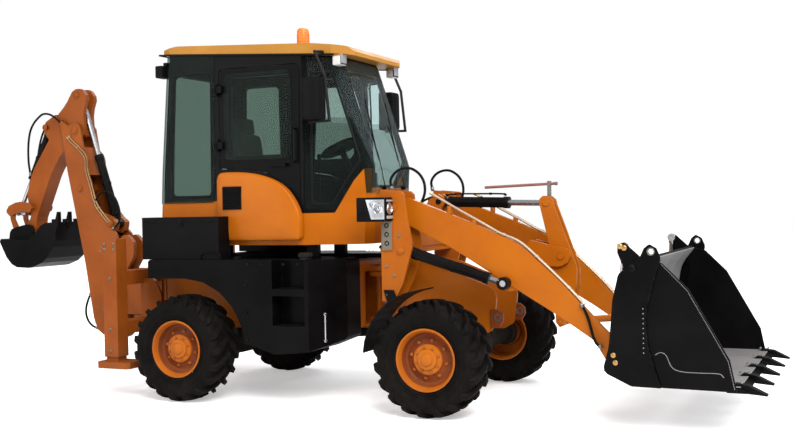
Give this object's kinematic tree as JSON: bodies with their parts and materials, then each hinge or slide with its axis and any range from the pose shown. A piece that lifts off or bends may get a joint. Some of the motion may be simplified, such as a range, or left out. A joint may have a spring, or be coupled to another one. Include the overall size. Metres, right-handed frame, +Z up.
{
  "type": "backhoe loader",
  "caption": "Articulated loader with a clamshell front bucket, glazed cab, folded rear digging arm and stabilizer legs.",
  "frame": {"origin": "on the ground under the middle of the machine's bounding box", "axes": "+X forward to the loader bucket, +Y to the driver's left, +Z up"},
  "size_m": [7.8283, 2.252, 3.3891],
  "materials": {
    "orange_paint": "gloss paint",
    "dark_orange": "weathered paint",
    "roof_orange": "matt moulded finish",
    "black_paint": "gloss paint",
    "black_rubber": "moulded",
    "cast_metal": "painted casting",
    "bright_rod": "polished",
    "tinted_glass": "tinted",
    "seat_cover": "woven",
    "amber": "clear moulded"
  },
  "bodies": {
    "machine": {"rear_frame": "orange_paint", "engine_block": "cast_metal", "rear_axle": "cast_metal", "side_tank_left": "black_paint", "side_tank_right": "black_paint", "side_box_left": "black_paint", "side_box_right": "black_paint", "cab_frame": "orange_paint", "front_glass": "tinted_glass", "rear_glass": "tinted_glass", "roof": "roof_orange", "beacon": "amber", "seat": "seat_cover", "hoe_frame": "orange_paint"},
    "door_right": {"door_right": "orange_paint", "door_glass_right": "tinted_glass"},
    "door_left": {"door_left": "orange_paint", "door_glass_left": "tinted_glass"},
    "leg_right": {"leg_right": "orange_paint"},
    "leg_left": {"leg_left": "orange_paint"},
    "front": {"front_frame": "orange_paint", "front_axle": "cast_metal", "fender_left": "black_paint", "fender_right": "black_paint"},
    "arms": {"loader_arms": "orange_paint"},
    "crank": {"bell_crank": "dark_orange"},
    "tilt_link": {"tilt_link": "cast_metal"},
    "tilt_barrel": {"tilt_ram_barrel": "cast_metal"},
    "tilt_rod": {"tilt_ram_rod": "bright_rod"},
    "bucket": {"moldboard": "black_paint"},
    "jaw": {"jaw": "black_paint"},
    "post": {"swing_post": "dark_orange"},
    "boom": {"boom": "orange_paint"},
    "dipper": {"dipper": "orange_paint"},
    "hoe_bucket": {"hoe_bucket": "black_paint"},
    "rocker": {"hoe_rocker": "dark_orange"},
    "hoe_link": {"hoe_link": "orange_paint"},
    "boom_barrel": {"boom_ram_barrel": "cast_metal"},
    "boom_rod": {"boom_ram_rod": "bright_rod"},
    "dipper_barrel": {"dipper_ram_barrel": "cast_metal"},
    "dipper_rod": {"dipper_ram_rod": "bright_rod"},
    "hoe_barrel": {"hoe_bucket_ram_barrel": "cast_metal"},
    "hoe_rod": {"hoe_bucket_ram_rod": "bright_rod"},
    "wheel_rear_right": {"tyre_rear_right": "black_rubber", "rim_rear_right": "orange_paint"},
    "wheel_rear_left": {"tyre_rear_left": "black_rubber", "rim_rear_left": "orange_paint"},
    "wheel_front_right": {"tyre_front_right": "black_rubber", "rim_front_right": "orange_paint"},
    "wheel_front_left": {"tyre_front_left": "black_rubber", "rim_front_left": "orange_paint"},
    "lift_barrel_right": {"lift_ram_right_barrel": "cast_metal"},
    "lift_rod_right": {"lift_ram_right_rod": "bright_rod"},
    "jaw_barrel_right": {"jaw_ram_right_barrel": "cast_metal"},
    "jaw_rod_right": {"jaw_ram_right_rod": "bright_rod"},
    "lift_barrel_left": {"lift_ram_left_barrel": "cast_metal"},
    "lift_rod_left": {"lift_ram_left_rod": "bright_rod"},
    "jaw_barrel_left": {"jaw_ram_left_barrel": "cast_metal"},
    "jaw_rod_left": {"jaw_ram_left_rod": "bright_rod"}
  },
  "joints": [
    {"name": "articulation", "type": "hinge", "parent": "machine", "child": "front", "pos_m": [0.46, 0, 0.9], "axis": [0, 0, 1], "range_deg": [-28, 28]},
    {"name": "wheel_rear_right_spin", "type": "hinge", "parent": "machine", "child": "wheel_rear_right", "pos_m": [-1.04, -0.936, 0.475], "axis": [0, 1, 0], "continuous": true},
    {"name": "wheel_rear_left_spin", "type": "hinge", "parent": "machine", "child": "wheel_rear_left", "pos_m": [-1.04, 0.936, 0.475], "axis": [0, 1, 0], "continuous": true},
    {"name": "wheel_front_right_spin", "type": "hinge", "parent": "front", "child": "wheel_front_right", "pos_m": [1.36, -0.936, 0.475], "axis": [0, 1, 0], "continuous": true},
    {"name": "wheel_front_left_spin", "type": "hinge", "parent": "front", "child": "wheel_front_left", "pos_m": [1.36, 0.936, 0.475], "axis": [0, 1, 0], "continuous": true},
    {"name": "door_right_hinge", "type": "hinge", "parent": "machine", "child": "door_right", "pos_m": [-0.84, -0.672, 2.5], "axis": [0, 0, -1], "range_deg": [0, 90]},
    {"name": "door_left_hinge", "type": "hinge", "parent": "machine", "child": "door_left", "pos_m": [-0.84, 0.672, 2.5], "axis": [0, 0, 1], "range_deg": [0, 90]},
    {"name": "leg_right_slide", "type": "slide", "parent": "machine", "child": "leg_right", "axis": [0, 0, -1], "range_m": [0, 0.45]},
    {"name": "leg_left_slide", "type": "slide", "parent": "machine", "child": "leg_left", "axis": [0, 0, -1], "range_m": [0, 0.45]},
    {"name": "lift", "type": "hinge", "parent": "front", "child": "arms", "pos_m": [0.93, 0, 1.7], "axis": [0, -1, 0], "range_deg": [-10, 76]},
    {"name": "bucket_tilt", "type": "hinge", "parent": "arms", "child": "bucket", "pos_m": [2.81, 0, 0.5], "axis": [0, -1, 0], "range_deg": [-100, 40]},
    {"name": "jaw_hinge", "type": "hinge", "parent": "bucket", "child": "jaw", "pos_m": [3.01, 0, 1.22], "axis": [0, -1, 0], "range_deg": [0, 60]},
    {"name": "crank_hinge", "type": "hinge", "parent": "arms", "child": "crank", "pos_m": [2.2, 0, 1.257], "axis": [0, -1, 0], "range_deg": [-16.14, 38.86]},
    {"name": "tilt_link_hinge", "type": "hinge", "parent": "crank", "child": "tilt_link", "pos_m": [2.18, 0, 0.7], "axis": [0, -1, 0], "range_deg": [-51, 21]},
    {"name": "tilt_ram_swing", "type": "hinge", "parent": "front", "child": "tilt_barrel", "pos_m": [1.08, 0, 1.74], "axis": [0, -1, 0], "range_deg": [-12.4, 87.64]},
    {"name": "tilt_ram_slide", "type": "slide", "parent": "tilt_barrel", "child": "tilt_rod", "axis": [0.9995, 0, -0.0303], "range_m": [-0.2518, 0.1031]},
    {"name": "lift_ram_right_swing", "type": "hinge", "parent": "front", "child": "lift_barrel_right", "pos_m": [0.99, -0.625, 1.33], "axis": [0, -1, 0], "range_deg": [-10.76, 75.18]},
    {"name": "lift_ram_right_slide", "type": "slide", "parent": "lift_barrel_right", "child": "lift_rod_right", "axis": [0.9566, 0, -0.2913], "range_m": [-0.0649, 0.4669]},
    {"name": "jaw_ram_right_swing", "type": "hinge", "parent": "bucket", "child": "jaw_barrel_right", "pos_m": [2.885, -0.985, 0.64], "axis": [0, -1, 0], "range_deg": [-1, 10.3]},
    {"name": "jaw_ram_right_slide", "type": "slide", "parent": "jaw_barrel_right", "child": "jaw_rod_right", "axis": [0.0679, 0, 0.9977], "range_m": [-0.1387, 0.004]},
    {"name": "lift_ram_left_swing", "type": "hinge", "parent": "front", "child": "lift_barrel_left", "pos_m": [0.99, 0.625, 1.33], "axis": [0, -1, 0], "range_deg": [-10.76, 75.18]},
    {"name": "lift_ram_left_slide", "type": "slide", "parent": "lift_barrel_left", "child": "lift_rod_left", "axis": [0.9566, 0, -0.2913], "range_m": [-0.0649, 0.4669]},
    {"name": "jaw_ram_left_swing", "type": "hinge", "parent": "bucket", "child": "jaw_barrel_left", "pos_m": [2.885, 0.985, 0.64], "axis": [0, -1, 0], "range_deg": [-1, 10.3]},
    {"name": "jaw_ram_left_slide", "type": "slide", "parent": "jaw_barrel_left", "child": "jaw_rod_left", "axis": [0.0679, 0, 0.9977], "range_m": [-0.1387, 0.004]},
    {"name": "hoe_swing", "type": "hinge", "parent": "machine", "child": "post", "pos_m": [-2.24, 0, 0.85], "axis": [0, 0, 1], "range_deg": [-90, 90]},
    {"name": "boom_hinge", "type": "hinge", "parent": "post", "child": "boom", "pos_m": [-2.51, 0, 0.48], "axis": [0, -1, 0], "range_deg": [0, 90]},
    {"name": "dipper_hinge", "type": "hinge", "parent": "boom", "child": "dipper", "pos_m": [-2.96, 0, 2.56], "axis": [0, -1, 0], "range_deg": [-115, 0]},
    {"name": "hoe_bucket_hinge", "type": "hinge", "parent": "dipper", "child": "hoe_bucket", "pos_m": [-3.62, 0, 1.52], "axis": [0, -1, 0], "range_deg": [-85, 15]},
    {"name": "rocker_hinge", "type": "hinge", "parent": "dipper", "child": "rocker", "pos_m": [-3.58, 0, 1.76], "axis": [0, -1, 0], "range_deg": [-43.5, 8.5]},
    {"name": "hoe_link_hinge", "type": "hinge", "parent": "rocker", "child": "hoe_link", "pos_m": [-3.84, 0, 1.72], "axis": [0, -1, 0], "range_deg": [-12.94, 68.66]},
    {"name": "hoe_ram_swing", "type": "hinge", "parent": "dipper", "child": "hoe_barrel", "pos_m": [-3.39, 0, 2.61], "axis": [0, -1, 0], "range_deg": [-5, 1.71]},
    {"name": "boom_ram_swing", "type": "hinge", "parent": "boom", "child": "boom_barrel", "pos_m": [-2.9, 0, 1.95], "axis": [0, -1, 0], "range_deg": [-1, 1.9]},
    {"name": "dipper_ram_swing", "type": "hinge", "parent": "boom", "child": "dipper_barrel", "pos_m": [-2.525, 0, 1.585], "axis": [0, -1, 0], "range_deg": [-17.33, 1]},
    {"name": "hoe_ram_slide", "type": "slide", "parent": "hoe_barrel", "child": "hoe_rod", "axis": [-0.4512, 0, -0.8924], "range_m": [-0.184, 0.0358]},
    {"name": "boom_ram_slide", "type": "slide", "parent": "boom_barrel", "child": "boom_rod", "axis": [0.5, 0, -0.866], "range_m": [-0.004, 0.752]},
    {"name": "dipper_ram_slide", "type": "slide", "parent": "dipper_barrel", "child": "dipper_rod", "axis": [-0.3079, 0, 0.9514], "range_m": [-0.5538, 0.004]}
  ],
  "couplings": [
    {"joint": "crank_hinge", "follows": "bucket_tilt", "ratio": -0.3786},
    {"joint": "tilt_link_hinge", "follows": "bucket_tilt", "ratio": 0.5},
    {"joint": "tilt_ram_swing", "follows": "lift", "ratio": 1.14},
    {"joint": "tilt_ram_slide", "follows": "bucket_tilt", "m_per_rad": 0.142},
    {"joint": "lift_ram_right_swing", "follows": "lift", "ratio": 0.976},
    {"joint": "lift_ram_right_slide", "follows": "lift", "m_per_rad": 0.349},
    {"joint": "jaw_ram_right_swing", "follows": "jaw_hinge", "ratio": 0.155},
    {"joint": "jaw_ram_right_slide", "follows": "jaw_hinge", "m_per_rad": -0.1286},
    {"joint": "lift_ram_left_swing", "follows": "lift", "ratio": 0.976},
    {"joint": "lift_ram_left_slide", "follows": "lift", "m_per_rad": 0.349},
    {"joint": "jaw_ram_left_swing", "follows": "jaw_hinge", "ratio": 0.155},
    {"joint": "jaw_ram_left_slide", "follows": "jaw_hinge", "m_per_rad": -0.1286},
    {"joint": "rocker_hinge", "follows": "hoe_bucket_hinge", "ratio": 0.5},
    {"joint": "hoe_link_hinge", "follows": "hoe_bucket_hinge", "ratio": -0.796},
    {"joint": "hoe_ram_swing", "follows": "hoe_bucket_hinge", "ratio": 0.047},
    {"joint": "boom_ram_swing", "follows": "boom_hinge", "ratio": 0.01},
    {"joint": "dipper_ram_swing", "follows": "dipper_hinge", "ratio": 0.142},
    {"joint": "hoe_ram_slide", "follows": "hoe_bucket_hinge", "m_per_rad": 0.1213},
    {"joint": "boom_ram_slide", "follows": "boom_hinge", "m_per_rad": 0.4762},
    {"joint": "dipper_ram_slide", "follows": "dipper_hinge", "m_per_rad": 0.2739}
  ]
}
